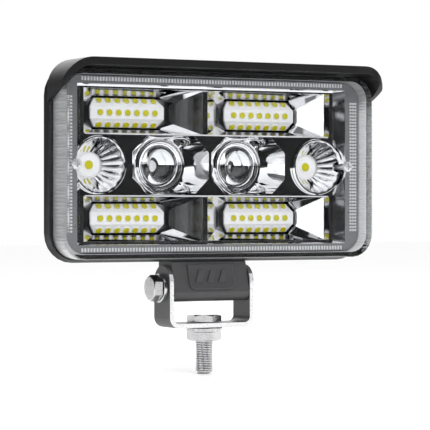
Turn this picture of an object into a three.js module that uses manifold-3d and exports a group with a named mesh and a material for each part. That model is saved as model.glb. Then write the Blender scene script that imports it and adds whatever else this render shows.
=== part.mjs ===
// LED fog light with a visor, a tilting head and a swivelling U bracket.
// Millimetres, +Z up, the light shines along -Y. The origin is on the axis of
// the mounting bolt, at the underside of the bracket's base.
import * as THREE from 'three';
import { ConvexGeometry } from 'three/addons/geometries/ConvexGeometry.js';
import { mergeVertices } from 'three/addons/utils/BufferGeometryUtils.js';
import Module from 'manifold-3d';

const wasm = await Module();
wasm.setup();

// ---- driving dimensions ---------------------------------------------------
const GAP = 0.3;                // clearance between touching pieces
const ARC = 6;                  // segments in a quarter round
const HEAD_Z = 69.6;            // height of the head's centre

const RIM = { x: 77.5, z: 41.1, r: 12.5, front: -7, widest: -4, back: 1 };
const BODY = { x: 67, z: 37, r: 6, back: 20.5, draft: 2.2, wall: 2.6 };
const SEAT_Y = -3;              // lens seat inside the rim
const TRAY = { x: 71.5, z: 36.5, r: 8, floor: -0.9 };
const FIN = { count: 15, pitch: 8.4, thick: 2.2, back: 29.5, z: 31, slope: 4, cornerX: 55 };
const FOOT = { x: 18.2, top: 31.7, bottom: 11.2, round: 4.4, y: 7.6, topY: 4.3 };

const LENS = { x: 74.9, z: 39.7, r: 10, front: -18, back: -5.2, wall: 2.2, bevel: 0.6 };
const GASKET = { front: -4.9, back: -3.3, width: 2.8 };
const WING = { tipX: 60, cornerY: -21.5, bend: [-20, 101.5], low: [-14, 99], rootZ: 95.5 };
const VISOR = { x: 77.5, top: 113.2, under: 110, r: 12, front: -28, wingX: 75.3 };

const FLANGE = { x: 72.2, z: 37, r: 7.6, front: -10, thick: 1.2, skirt: 70.9, skirtZ: 35.9 };
const BASIN = { x: 65.6, z: 33.75, deckX: 61.9, deckZ: 32.9 };
const DECK = { y: -5, z: 13.3, thick: 1.2 };
const SHELL = 1.3;              // reflector wall
const WELL = { x: 32.5, half: 17.9, z: 22.65, tall: 6.55, flat: 2.6, corner: 3, ridge: 1.2,
  mouthX: 60, mouthZ: 32.2, top: -0.5, back: 10.4 };
// How far back the curved walls of a well reach, and how much narrower than its mouth they are there.
const WELL_CURVE = [{ part: 0.5, inset: 0.15 }, { part: 0.8, inset: 0.9 }];
const BOWL = { x: 18.95, half: 18.3, z: 12.6, cut: 7, back: 5.1, r: 11.3, end: 12 };
const CUP = { x: 53.3, rim: 11.4, base: 5.6, front: -6.8, back: 3.2, wall: 0.9, lip: 12.4 };

const BOARD = { in: 14.9, out: 50.1, facet: 2.6, half: 6.25, y: 9.5, edgeY: 12, thick: 1.2, corner: 2.7 };
const BOARD_Z = [92.25, 46.95];
const DOME = { r: 8.1, seat: 8.3, rise: 5.6, flange: 9.6, back: 9.6 };
const STEP_RING = { inner: 8.5, lip: 9.3, crown: 10.2, outer: 11, front: 4.6, edge: 5.6, mouth: 6, back: 8 };
const DISC_LED = { r: 6.4, front: 4.3, back: 5.2, boss: 1.8, bossFront: 3.9 };
const CHIP_LED = { half: 6, front: 13.5, back: 14.9, lens: 2.2, lensFront: 12.9 };
const DRIVER = { half: 0.8, front: 5.6, back: 14.9, z: 11 };
const CAPACITOR = { r: 2.6, end: 4.6, y: 10, z: 6 };
const COIL = { end: 4.2, front: 7.4, back: 12.6, low: -3.4, high: 1.6 };
const CONTROL_CHIP = { end: -2.4, front: 8, back: 12, low: -2, high: 3 };
const TERMINAL = { end: 4.4, front: 8.2, back: 12.4, low: -9.6, high: -5.2 };
const GLAND = { x: 0, z: 44.5, y: 27.5, boss: 9, flats: 13, thick: 3, r: 5, bore: 3, nose: 5.2 };
const VENT = { x: 42, z: 52, y: 23.5, boss: 6.5, r: 5, plug: 2.5, proud: 2.2 };
const RECESS = { long: 1.4, half: 0.3, deep: 0.6, chamfer: 0.6 };  // centres of the upper and lower boards
const CARRIER = { x: 51, front: 13.8, back: 17.2 };
const CORE = { x: 61, z: 12, front: 15.2, back: 17.2, post: 7 };
const SCREW = { x: 66, head: 2.4, shaft: 1.2, headFront: -11.7, end: 5, boss: 2.9 };

const PIVOT_Z = 17.1;
const BRACKET = { inner: 18.5, thick: 2, half: 7.5, bend: 4.5, archZ: 19.3 };
const M8 = { r: 4, flats: 13, head: 3.1, tip: -20, washer: 8, nutTop: -2.1, nutEnd: -5.9 };
const M6 = { r: 3, flats: 10, head: 4, washer: 6.2, washerThick: 1.5, end: 8 };

// ---- finishes ---------------------------------------------------------------
const finish = (color, roughness, metalness) => () =>
  new THREE.MeshStandardMaterial({ color, roughness, metalness });
const blackPaint = finish(0x121213, 0.5, 0.2);
const blackPlastic = finish(0x0e0e0f, 0.45, 0);
const rubber = finish(0x18181a, 0.8, 0);
const chrome = finish(0xe8e9ec, 0.08, 1);
const steel = finish(0xd4d6d8, 0.2, 1);
const coatedSteel = finish(0x3a3b3d, 0.5, 0.6);
const aluminium = finish(0xb9bbbd, 0.4, 1);
const whiteBoard = finish(0xf4f4f2, 0.5, 0);
const greenBoard = finish(0x1d5a35, 0.5, 0);
const phosphor = finish(0xe6d23c, 0.5, 0);
const brass = finish(0xb89a4e, 0.35, 1);

const clear = () => new THREE.MeshStandardMaterial({
  color: 0xf2f6f8, roughness: 0.05, metalness: 0, transparent: true, opacity: 0.3,
});

// ---- solids -------------------------------------------------------------------
function solid(geometry) {
  const bare = geometry.index ? geometry.toNonIndexed() : geometry.clone();
  bare.deleteAttribute('normal');
  bare.deleteAttribute('uv');
  const merged = mergeVertices(bare, 1e-4);
  const vertProperties = new Float32Array(merged.attributes.position.array);
  const triVerts = new Uint32Array(merged.index.array);
  return new wasm.Manifold(new wasm.Mesh({ numProp: 3, vertProperties, triVerts }));
}

function geometryOf(manifold) {
  const mesh = manifold.getMesh();
  const geometry = new THREE.BufferGeometry();
  geometry.setAttribute('position', new THREE.BufferAttribute(new Float32Array(mesh.vertProperties), 3));
  geometry.setIndex(new THREE.BufferAttribute(new Uint32Array(mesh.triVerts), 1));
  return geometry;
}

const join = (...parts) => parts.reduce((sum, part) => sum.add(part));
const cut = (body, ...tools) => tools.reduce((rest, tool) => rest.subtract(tool), body);

function box(x0, x1, y0, y1, z0, z1) {
  const geometry = new THREE.BoxGeometry(x1 - x0, y1 - y0, z1 - z0);
  geometry.translate((x0 + x1) / 2, (y0 + y1) / 2, (z0 + z1) / 2);
  return solid(geometry);
}

// A round rod along one axis: 'x', 'y' or 'z'; sides 6 gives a hexagon.
function rod(axis, radius, from, to, at = [0, 0], sides = 24) {
  const geometry = new THREE.CylinderGeometry(radius, radius, to - from, sides);
  const middle = (from + to) / 2;
  if (axis === 'x') geometry.rotateZ(Math.PI / 2).translate(middle, at[0], at[1]);
  if (axis === 'y') geometry.translate(at[0], middle, at[1]);
  if (axis === 'z') geometry.rotateX(Math.PI / 2).translate(at[0], at[1], middle);
  return solid(geometry);
}

const hexagon = (axis, flats, from, to, at) => rod(axis, flats / Math.sqrt(3), from, to, at, 6);

// Points of a rounded rectangle in X and Z, centred on the head, at depth y.
function roundedOutline(halfX, halfZ, radius, y) {
  const points = [];
  for (const [sx, sz, start] of [[1, 1, 0], [-1, 1, 1], [-1, -1, 2], [1, -1, 3]]) {
    for (let i = 0; i <= ARC; i += 1) {
      const angle = (start + i / ARC) * Math.PI / 2;
      const x = sx * (halfX - radius) + radius * Math.cos(angle);
      const z = HEAD_Z + sz * (halfZ - radius) + radius * Math.sin(angle);
      points.push(new THREE.Vector3(x, y, z));
    }
  }
  return points;
}

const hull = (...outlines) => solid(new ConvexGeometry(outlines.flat()));

const slab = (halfX, halfZ, radius, y0, y1) =>
  hull(roundedOutline(halfX, halfZ, radius, y0), roundedOutline(halfX, halfZ, radius, y1));

// A rectangle in X and Z at depth y.
const rectangle = (x0, x1, z0, z1, y) => [
  new THREE.Vector3(x0, y, z0), new THREE.Vector3(x1, y, z0),
  new THREE.Vector3(x1, y, z1), new THREE.Vector3(x0, y, z1),
];

// A flat shape pushed along X from x0 to x1; its points are [y, z].
function extrudeX(shape, x0, x1) {
  const settings = { depth: x1 - x0, bevelEnabled: false, curveSegments: ARC };
  const geometry = new THREE.ExtrudeGeometry(shape, settings);
  const turn = new THREE.Matrix4().makeBasis(
    new THREE.Vector3(0, 1, 0), new THREE.Vector3(0, 0, 1), new THREE.Vector3(1, 0, 0));
  return solid(geometry.applyMatrix4(turn).translate(x0, 0, 0));
}

// A flat shape pushed along Z from z0 to z1; its points are [x, y].
function extrudeZ(shape, z0, z1) {
  const settings = { depth: z1 - z0, bevelEnabled: false, curveSegments: ARC };
  return solid(new THREE.ExtrudeGeometry(shape, settings).translate(0, 0, z0));
}

// A flat shape pushed along Y from y0 to y1; its points are [x, z].
function extrudeY(shape, y0, y1) {
  const settings = { depth: y1 - y0, bevelEnabled: false, curveSegments: ARC };
  const geometry = new THREE.ExtrudeGeometry(shape, settings).rotateX(Math.PI / 2);
  return solid(geometry.translate(0, y1, 0));
}

// A turned shape about an axis along Y through (x, z); its points are [radius, y].
function turned(points, x, z, sides = 32) {
  const profile = points.map(([radius, y]) => new THREE.Vector2(radius, y));
  if (THREE.ShapeUtils.area(profile) < 0) profile.reverse();
  return solid(new THREE.LatheGeometry(profile, sides).translate(x, 0, z));
}

const root = new THREE.Group();

function place(name, manifold, makeMaterial) {
  const mesh = new THREE.Mesh(geometryOf(manifold), makeMaterial());
  mesh.name = name;
  root.add(mesh);
}

// ---- housing ------------------------------------------------------------------
function rimSolid() {
  return hull(
    roundedOutline(RIM.x - 1.2, RIM.z - 1.2, RIM.r - 1.2, RIM.front),
    roundedOutline(RIM.x, RIM.z, RIM.r, RIM.widest),
    roundedOutline(RIM.x - 3.3, RIM.z - 3.3, RIM.r - 3.3, RIM.back));
}

function bodySolid() {
  return hull(
    roundedOutline(BODY.x, BODY.z, BODY.r, 0),
    roundedOutline(BODY.x - BODY.draft, BODY.z - BODY.draft, BODY.r, BODY.back));
}

function bodyCavity() {
  const wall = BODY.wall;
  return hull(
    roundedOutline(BODY.x - wall, BODY.z - wall, BODY.r - wall, SEAT_Y),
    roundedOutline(BODY.x - BODY.draft - wall, BODY.z - BODY.draft - wall, BODY.r - wall, BODY.back - 3));
}

function makeFoot() {
  const { round, y, topY, top, bottom } = FOOT;
  const shape = new THREE.Shape();
  shape.moveTo(y, top);
  shape.lineTo(RIM.back + GAP, top - GAP);
  shape.lineTo(-topY, HEAD_Z - RIM.z - GAP);
  shape.lineTo(-y, bottom + round);
  shape.absarc(-y + round, bottom + round, round, Math.PI, 1.5 * Math.PI, false);
  shape.lineTo(y - round, bottom);
  shape.absarc(y - round, bottom + round, round, 1.5 * Math.PI, 2 * Math.PI, false);
  shape.lineTo(y, top);
  const pivotHoles = [-1, 1].map((side) => {
    const ends = [side * (M6.end - GAP), side * (FOOT.x + 1)].sort((a, b) => a - b);
    return rod('x', M6.r + GAP, ends[0], ends[1], [0, PIVOT_Z]);
  });
  return cut(extrudeX(shape, -FOOT.x, FOOT.x), ...pivotHoles);
}

function fins() {
  const list = [];
  const first = -(FIN.count - 1) / 2;
  for (let i = 0; i < FIN.count; i += 1) {
    const x = (first + i) * FIN.pitch;
    const half = FIN.z - (Math.abs(x) > FIN.cornerX ? FIN.slope : 0);
    const outline = [[BODY.back - 1, -half], [BODY.back - 1, half],
      [FIN.back, half - FIN.slope], [FIN.back, FIN.slope - half]]
      .map(([y, z]) => new THREE.Vector3(x, y, HEAD_Z + z));
    const sides = [-FIN.thick / 2, FIN.thick / 2].map((dx) =>
      outline.map((point) => point.clone().setX(x + dx)));
    list.push(hull(...sides));
  }
  return list;
}


function makeHousing() {
  const bosses = [GLAND, VENT].map((port) =>
    rod('y', port.boss, BODY.back - 1, port.y, [port.x, port.z]));
  const clearFins = [GLAND, VENT].map((port) =>
    rod('y', port.boss + 2, BODY.back, FIN.back + 1, [port.x, port.z]));
  const finned = cut(join(...fins()), ...clearFins);
  const outside = join(rimSolid(), bodySolid(), finned, ...bosses);
  const hollow = cut(outside,
    slab(LENS.x + GAP, LENS.z + GAP, LENS.r + GAP, RIM.front - 1, SEAT_Y),
    slab(TRAY.x, TRAY.z, TRAY.r, SEAT_Y - 0.1, TRAY.floor),
    bodyCavity());
  const screwBosses = [-1, 1].map((side) =>
    rod('y', SCREW.boss, TRAY.floor - 0.01, 8, [side * SCREW.x, HEAD_Z]));
  const screwHoles = [-1, 1].map((side) =>
    rod('y', SCREW.shaft + GAP, TRAY.floor - 1, SCREW.end + GAP, [side * SCREW.x, HEAD_Z], 16));
  const ports = [
    rod('y', GLAND.r + GAP, BODY.back - 4, GLAND.y + 1, [GLAND.x, GLAND.z]),
    rod('y', VENT.plug + GAP, BODY.back - 4, VENT.y + 1, [VENT.x, VENT.z], 16)];
  return cut(join(hollow, ...screwBosses), ...screwHoles, ...ports);
}

// ---- lens, gasket and visor -------------------------------------------------------
function makeLens() {
  const { x, z, r, front, back, wall, bevel } = LENS;
  const outside = hull(
    roundedOutline(x - bevel, z - bevel, r - bevel, front),
    roundedOutline(x, z, r, front + bevel),
    roundedOutline(x, z, r, back));
  return cut(outside, slab(x - wall, z - wall, r - wall, front + wall, back + 1));
}

function makeGasket() {
  const { x, z, r } = LENS;
  const inner = GASKET.width;
  return cut(slab(x, z, r, GASKET.front, GASKET.back),
    slab(x - inner, z - inner, r - inner, GASKET.front - 1, GASKET.back + 1));
}

function roundTopOutline(halfX, top, radius, low) {
  const shape = new THREE.Shape();
  shape.moveTo(-halfX, low);
  shape.lineTo(halfX, low);
  shape.lineTo(halfX, top - radius);
  shape.absarc(halfX - radius, top - radius, radius, 0, Math.PI / 2, false);
  shape.lineTo(-halfX + radius, top);
  shape.absarc(-halfX + radius, top - radius, radius, Math.PI / 2, Math.PI, false);
  return shape;
}

function visorSide() {
  const shape = new THREE.Shape();
  shape.moveTo(VISOR.front, VISOR.top + 1);
  shape.lineTo(VISOR.front, VISOR.under - 3);
  shape.quadraticCurveTo(...WING.bend, ...WING.low);
  shape.lineTo(RIM.front - GAP, WING.rootZ);
  shape.lineTo(RIM.front - GAP, VISOR.top + 1);
  return extrudeX(shape, -VISOR.x - 1, VISOR.x + 1);
}

function visorPlan() {
  const shape = new THREE.Shape();
  const side = VISOR.x + 0.1;
  shape.moveTo(side, 5);
  shape.lineTo(-side, 5);
  shape.lineTo(-side, WING.cornerY);
  shape.quadraticCurveTo(-side + 2, VISOR.front, -WING.tipX, VISOR.front);
  shape.lineTo(WING.tipX, VISOR.front);
  shape.quadraticCurveTo(side - 2, VISOR.front, side, WING.cornerY);
  return extrudeZ(shape, WING.rootZ - 15, VISOR.top + 5);
}

function makeVisor() {
  const hood = cut(
    extrudeY(roundTopOutline(VISOR.x, VISOR.top, VISOR.r, 85), VISOR.front, RIM.front - GAP),
    extrudeY(roundTopOutline(VISOR.wingX, VISOR.under, VISOR.r - 1.8, 84), VISOR.front - 1, RIM.front));
  const shelf = box(-64, 64, RIM.front - 1, RIM.back - 1, HEAD_Z + RIM.z + GAP, VISOR.top);
  return join(hood.intersect(visorSide()), shelf).intersect(visorPlan());
}

// ---- reflector ------------------------------------------------------------------
// Eight points round a well at depth y: ends at x0 and x1, cut corners that start flat above and below.
function wellRing(side, x, z, y, grow) {
  const points = [];
  for (const [end, inward] of [[x.in - grow, x.cut], [x.out + grow, -x.cut]]) {
    const edges = [[z.middle + z.flatHigh, z.high + grow], [z.middle - z.flatLow, z.low - grow]];
    for (const [face, edge] of edges) {
      points.push(new THREE.Vector3(side * end, y, face));
      points.push(new THREE.Vector3(side * (end + inward), y, edge));
    }
  }
  return points;
}

function wellFrustum(side, row, grow) {
  const { x, half, z, tall, flat, corner, ridge, mouthX, mouthZ, top, back } = WELL;
  const middle = HEAD_Z + row * z;
  const mouth = [HEAD_Z + row * DECK.z, HEAD_Z + row * mouthZ].sort((a, b) => a - b);
  const mix = (a, b, part) => a + (b - a) * part;
  const ringAt = (part, low, high, y) => wellRing(side,
    { in: mix(ridge, x - half, part), out: mix(mouthX, x + half, part), cut: corner * part },
    {
      middle, low, high, flatLow: mix(middle - mouth[0], flat, part),
      flatHigh: mix(mouth[1] - middle, flat, part),
    }, y, grow);
  const rings = [
    ringAt(0, mouth[0], mouth[1], top),
    ...WELL_CURVE.map(({ part, inset }) =>
      ringAt(part, mouth[0] + inset, mouth[1] - inset, mix(top, back, part))),
    ringAt(1, middle - tall, middle + tall, back),
    ringAt(1, middle - tall, middle + tall, back + (grow > 0 ? 0.9 : SHELL + 1)),
  ];
  return hull(...rings);
}

// The open space above a pair of wells, down to the ridge between them.
function bayBox(row, grow) {
  const ends = [HEAD_Z + row * DECK.z, HEAD_Z + row * WELL.mouthZ].sort((a, b) => a - b);
  return box(-WELL.mouthX - grow, WELL.mouthX + grow, DECK.y - (grow > 0 ? 0 : 0.5), WELL.top,
    ends[0] - grow, ends[1] + grow);
}

function bowlOutline(x, half, z, corner, y) {
  const points = [];
  for (const [sx, sz] of [[1, 1], [1, -1], [-1, 1], [-1, -1]]) {
    points.push(new THREE.Vector3(x + sx * half, y, HEAD_Z + sz * (z - corner)));
    points.push(new THREE.Vector3(x + sx * (half - corner), y, HEAD_Z + sz * z));
  }
  return points;
}

function circleOutline(x, radius, y, sides = 24) {
  return Array.from({ length: sides }, (_, i) => {
    const angle = i / sides * 2 * Math.PI;
    return new THREE.Vector3(x + radius * Math.cos(angle), y, HEAD_Z + radius * Math.sin(angle));
  });
}

function bowlFrustum(side, grow) {
  const x = side * BOWL.x;
  return hull(
    bowlOutline(x, BOWL.half + grow, BOWL.z + grow, BOWL.cut, DECK.y),
    circleOutline(x, BOWL.r + grow, BOWL.back));
}

const bowlTube = (side, grow) => rod('y', BOWL.r - 0.2 + grow, BOWL.back - 0.4,
  BOWL.end + (grow > 0 ? 0 : 1), [side * BOWL.x, HEAD_Z]);

function makeReflector() {
  const { front, thick } = FLANGE;
  const basinAt = (x, z, grow, y) =>
    rectangle(-x - grow, x + grow, HEAD_Z - z - grow, HEAD_Z + z + grow, y);
  const basinVoid = hull(basinAt(BASIN.x, BASIN.z, 0, front - 0.5),
    basinAt(BASIN.deckX, BASIN.deckZ, 0, DECK.y));
  const basinShell = hull(basinAt(BASIN.x, BASIN.z, SHELL, front + thick / 2),
    basinAt(BASIN.deckX, BASIN.deckZ, SHELL, DECK.y + DECK.thick));
  const skirt = cut(slab(FLANGE.skirt, FLANGE.skirtZ, 7, front, TRAY.floor - GAP),
    slab(FLANGE.skirt - thick, FLANGE.skirtZ - thick, 6, front + thick, TRAY.floor));
  const flange = slab(FLANGE.x, FLANGE.z, FLANGE.r, front, front + thick);
  const deckHalf = DECK.z - 0.5;
  const deck = box(-BASIN.deckX - 0.6, BASIN.deckX + 0.6, DECK.y, DECK.y + DECK.thick,
    HEAD_Z - deckHalf, HEAD_Z + deckHalf);
  const screwPosts = [-1, 1].map((side) =>
    rod('y', SCREW.boss, front, DECK.y + 1, [side * SCREW.x, HEAD_Z]));
  const corners = [[-1, 1], [1, 1], [-1, -1], [1, -1]];
  const walls = join(skirt, flange, basinShell,
    ...corners.map(([side, row]) => wellFrustum(side, row, SHELL)),
    ...[-1, 1].map((row) => bayBox(row, SHELL)),
    ...[-1, 1].map((side) => bowlFrustum(side, SHELL)),
    ...[-1, 1].map((side) => bowlTube(side, SHELL)),
    ...[-1, 1].map((side) =>
      rod('y', CUP.lip + GAP + SHELL, front + 1, DECK.y + DECK.thick, [side * CUP.x, HEAD_Z], 32)));
  const hollowed = cut(walls, basinVoid,
    ...[-1, 1].map((row) => bayBox(row, 0)),
    ...corners.map(([side, row]) => wellFrustum(side, row, 0)));
  const decked = join(hollowed, deck, ...screwPosts);
  return cut(decked,
    ...[-1, 1].map((side) => bowlFrustum(side, 0)),
    ...[-1, 1].map((side) => bowlTube(side, 0)),
    ...[-1, 1].map((side) => rod('y', CUP.lip + GAP, front - 0.2, DECK.y, [side * CUP.x, HEAD_Z], 32)),
    ...[-1, 1].map((side) => rod('y', CUP.rim + 0.5, DECK.y - 0.5, DECK.y + 6, [side * CUP.x, HEAD_Z], 32)),
    ...[-1, 1].map((side) =>
      rod('y', SCREW.shaft + GAP, front - 1, DECK.y + 2, [side * SCREW.x, HEAD_Z], 16)));
}

// ---- round optics ---------------------------------------------------------------
function makeCup(side) {
  const { rim, base, front, back, wall, lip } = CUP;
  const steps = 6;
  const radiusAt = (y) => Math.sqrt(base ** 2 + (rim ** 2 - base ** 2) * (back - y) / (back - front));
  const inner = [];
  const outer = [];
  for (let i = 0; i <= steps; i += 1) {
    const y = front + (back - front) * i / steps;
    inner.push([radiusAt(y), y]);
    if (y > DECK.y - 0.5) outer.unshift([radiusAt(y) + wall, y]);
  }
  const under = DECK.y - GAP;
  const profile = [...inner, ...outer, [radiusAt(under) + wall, under],
    [lip, under], [lip, front], inner[0]];
  const ring = turned(profile, side * CUP.x, HEAD_Z);
  return cut(ring, rod('y', SCREW.boss + GAP, front - 1, DECK.y + 2, [side * SCREW.x, HEAD_Z]));
}

function makeCupLed(side) {
  const { r, front, back, boss, bossFront } = DISC_LED;
  const profile = [[0, bossFront], [boss, bossFront], [boss, front], [r, front], [r, back], [0, back]];
  return turned(profile, side * CUP.x, HEAD_Z, 24);
}

function makeProjectorLens(side) {
  const dome = [];
  const steps = 6;
  for (let i = 0; i <= steps; i += 1) {
    const angle = i / steps * Math.PI / 2;
    dome.push([DOME.r * Math.sin(angle), DOME.seat - DOME.rise * Math.cos(angle)]);
  }
  const base = [[DOME.flange, DOME.seat], [DOME.flange, DOME.back], [0, DOME.back]];
  return turned([...dome, ...base], side * BOWL.x, HEAD_Z, 24);
}

function makeProjectorRing(side) {
  const { inner, lip, crown, outer, front, edge, mouth, back } = STEP_RING;
  const profile = [[inner, mouth], [lip, front], [crown, front], [outer, edge],
    [outer, back], [inner, back], [inner, mouth]];
  return turned(profile, side * BOWL.x, HEAD_Z);
}

function makeProjectorLed(side) {
  const x = side * BOWL.x;
  const { half, front, back, lens, lensFront } = CHIP_LED;
  return join(box(x - half, x + half, front, back, HEAD_Z - half, HEAD_Z + half),
    rod('y', lens, lensFront, front + 0.1, [x, HEAD_Z], 16));
}

// ---- boards and heat path --------------------------------------------------------
function facetShape(z, y, edgeY, backY) {
  const shape = new THREE.Shape();
  const { facet, half } = BOARD;
  shape.moveTo(edgeY, z - half);
  shape.lineTo(y, z - facet);
  shape.lineTo(y, z + facet);
  shape.lineTo(edgeY, z + half);
  if (backY === undefined) {
    shape.lineTo(edgeY + BOARD.thick, z + half);
    shape.lineTo(y + BOARD.thick, z + facet);
    shape.lineTo(y + BOARD.thick, z - facet);
    shape.lineTo(edgeY + BOARD.thick, z - half);
  } else {
    shape.lineTo(backY, z + half);
    shape.lineTo(backY, z - half);
  }
  return shape;
}

function makeBoard(side, z) {
  const ends = side > 0 ? [BOARD.in, BOARD.out] : [-BOARD.out, -BOARD.in];
  const outlineAt = (y) => [[ends[0], 1], [ends[1], -1]].flatMap(([x, inward]) => [
    new THREE.Vector3(x, y, z + BOARD.facet), new THREE.Vector3(x, y, z - BOARD.facet),
    new THREE.Vector3(x + inward * BOARD.corner, y, z + BOARD.half),
    new THREE.Vector3(x + inward * BOARD.corner, y, z - BOARD.half)]);
  const trimmed = hull(outlineAt(BOARD.y - 1), outlineAt(BOARD.edgeY + BOARD.thick + 1));
  return extrudeX(facetShape(z, BOARD.y, BOARD.edgeY), ends[0], ends[1]).intersect(trimmed);
}

function makeCarrier(z) {
  const padY = BOARD.y + BOARD.thick + GAP;
  const padEdge = BOARD.edgeY + BOARD.thick + GAP;
  const pads = [-1, 1].map((side) => {
    const [near, far] = [BOARD.in + BOARD.corner + 0.4, BOARD.out - BOARD.corner - 0.4];
    const ends = side > 0 ? [near, far] : [-far, -near];
    return extrudeX(facetShape(z, padY, padEdge, CARRIER.back), ends[0], ends[1]);
  });
  const bar = box(-CARRIER.x, CARRIER.x, CARRIER.front, CARRIER.back, z - BOARD.half, z + BOARD.half);
  return join(bar, ...pads);
}

function makeCore() {
  const plate = box(-CORE.x, CORE.x, CORE.front, CORE.back, HEAD_Z - CORE.z, HEAD_Z + CORE.z);
  const posts = [-1, 1].map((side) => rod('y', CORE.post, 5.5, CORE.front + 0.5, [side * CUP.x, HEAD_Z]));
  return join(plate, ...posts);
}

function makeDriver() {
  const { half, front, back, z } = DRIVER;
  const board = box(-half, half, front, back, HEAD_Z - z, HEAD_Z + z);
  const onBoard = (part) => {
    const ends = [Math.sign(part.end) * (half - 0.1), part.end].sort((a, b) => a - b);
    return box(ends[0], ends[1], part.front, part.back, HEAD_Z + part.low, HEAD_Z + part.high);
  };
  const capacitor = rod('x', CAPACITOR.r, half - 0.1, CAPACITOR.end, [CAPACITOR.y, HEAD_Z + CAPACITOR.z], 16);
  return join(board, capacitor, ...[COIL, CONTROL_CHIP, TERMINAL].map(onBoard));
}

// ---- fasteners and ports ----------------------------------------------------------
function makeReflectorScrew(side) {
  const at = [side * SCREW.x, HEAD_Z];
  const under = FLANGE.front - GAP;
  const { long, half, deep, chamfer } = RECESS;
  const { head: radius, headFront } = SCREW;
  const head = turned([[0, headFront], [radius - chamfer, headFront], [radius, headFront + chamfer],
    [radius, under], [0, under]], at[0], at[1], 24);
  const slots = [[long, half], [half, long]].map(([x, z]) =>
    box(at[0] - x, at[0] + x, headFront - 1, headFront + deep, at[1] - z, at[1] + z));
  const shaft = rod('y', SCREW.shaft, under - 0.1, SCREW.end, at, 16);
  return cut(join(head, shaft), ...slots);
}

function makeGland() {
  const at = [GLAND.x, GLAND.z];
  const { y, flats, thick, r, bore, nose } = GLAND;
  const flange = hexagon('y', flats, y + GAP, y + thick, at);
  const spigot = rod('y', r, BODY.back - 2, y + 1, at);
  const tube = rod('y', r, y + thick - 0.1, y + nose, at);
  return cut(join(flange, spigot, tube), rod('y', bore, BODY.back - 3, y + nose + 1, at, 16));
}

function makeVent() {
  const at = [VENT.x, VENT.z];
  return join(rod('y', VENT.r, VENT.y + GAP, VENT.y + VENT.proud, at),
    rod('y', VENT.plug, BODY.back - 2, VENT.y + 0.5, at, 16));
}

// ---- bracket and its bolts ----------------------------------------------------------
function uOutline(half, low, bend) {
  const shape = new THREE.Shape();
  const top = BRACKET.archZ + BRACKET.half + 1;
  shape.moveTo(-half, top);
  shape.lineTo(-half, low + bend);
  shape.absarc(-half + bend, low + bend, bend, Math.PI, 1.5 * Math.PI, false);
  shape.lineTo(half - bend, low);
  shape.absarc(half - bend, low + bend, bend, 1.5 * Math.PI, 2 * Math.PI, false);
  shape.lineTo(half, top);
  return shape;
}

function makeBracket() {
  const { inner, thick, half, bend, archZ } = BRACKET;
  const strip = cut(extrudeY(uOutline(inner + thick, 0, bend), -half, half),
    extrudeY(uOutline(inner, thick, bend - thick), -half - 1, half + 1),
    box(-inner, inner, -half - 1, half + 1, archZ + half, archZ + half + 3));
  const arch = new THREE.Shape();
  arch.moveTo(-half, -1);
  arch.lineTo(half, -1);
  arch.lineTo(half, archZ);
  arch.absarc(0, archZ, half, 0, Math.PI, false);
  const rounded = strip.intersect(extrudeX(arch, -inner - thick - 1, inner + thick + 1));
  return cut(rounded, rod('z', M8.r + GAP, -1, thick + 1),
    rod('x', M6.r + GAP, -inner - thick - 1, inner + thick + 1, [0, PIVOT_Z]));
}

function makePivotBolt() {
  const head = -(BRACKET.inner + BRACKET.thick + 2 * GAP + M6.washerThick);
  return join(hexagon('x', M6.flats, head - M6.head, head, [0, PIVOT_Z]),
    rod('x', M6.r, head - 0.5, -M6.end, [0, PIVOT_Z]));
}

function makePivotWasher() {
  const inside = -(BRACKET.inner + BRACKET.thick + GAP);
  return cut(rod('x', M6.washer, inside - M6.washerThick, inside, [0, PIVOT_Z]),
    rod('x', M6.r + GAP, inside - 3, inside + 1, [0, PIVOT_Z]));
}

const makePivotPin = () => rod('x', M6.r, M6.end, BRACKET.inner + BRACKET.thick - 0.1, [0, PIVOT_Z]);

function makeMountBolt() {
  const seat = BRACKET.thick + GAP;
  const tip = new THREE.Vector2(M8.r - 0.8, M8.tip);
  const profile = [new THREE.Vector2(0, M8.tip), tip, new THREE.Vector2(M8.r, M8.tip + 0.8),
    new THREE.Vector2(M8.r, seat + 0.5), new THREE.Vector2(0, seat + 0.5)];
  const shank = solid(new THREE.LatheGeometry(profile, 24).rotateX(Math.PI / 2));
  return join(shank, hexagon('z', M8.flats, seat, seat + M8.head));
}

const makeMountWasher = () => cut(rod('z', M8.washer, M8.nutTop + GAP, -GAP, [0, 0], 32),
  rod('z', M8.r + GAP, M8.nutTop - 1, 1));

const makeMountNut = () => cut(hexagon('z', M8.flats, M8.nutEnd, M8.nutTop),
  rod('z', M8.r + GAP, M8.nutEnd - 1, M8.nutTop + 1));

// ---- assembly ----------------------------------------------------------------------
const SIDES = [['left', -1], ['right', 1]];
const ROWS = [['upper', BOARD_Z[0]], ['lower', BOARD_Z[1]]];

place('housing', makeHousing(), blackPaint);
place('foot_block', makeFoot(), blackPaint);
place('visor', makeVisor(), blackPlastic);
place('lens_cover', makeLens(), clear);
place('lens_gasket', makeGasket(), rubber);
place('reflector', makeReflector(), chrome);
for (const [row, z] of ROWS) {
  place(`led_carrier_${row}`, makeCarrier(z), aluminium);
  for (const [name, side] of SIDES) {
    place(`led_board_${row}_${name}`, makeBoard(side, z), whiteBoard);
  }
}
place('core_plate', makeCore(), aluminium);
place('driver_board', makeDriver(), greenBoard);
for (const [name, side] of SIDES) {
  place(`cup_reflector_${name}`, makeCup(side), chrome);
  place(`cup_led_${name}`, makeCupLed(side), whiteBoard);
  place(`projector_lens_${name}`, makeProjectorLens(side), clear);
  place(`projector_ring_${name}`, makeProjectorRing(side), chrome);
  place(`projector_led_${name}`, makeProjectorLed(side), phosphor);
  place(`reflector_screw_${name}`, makeReflectorScrew(side), steel);
}
place('cable_gland', makeGland(), brass);
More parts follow.
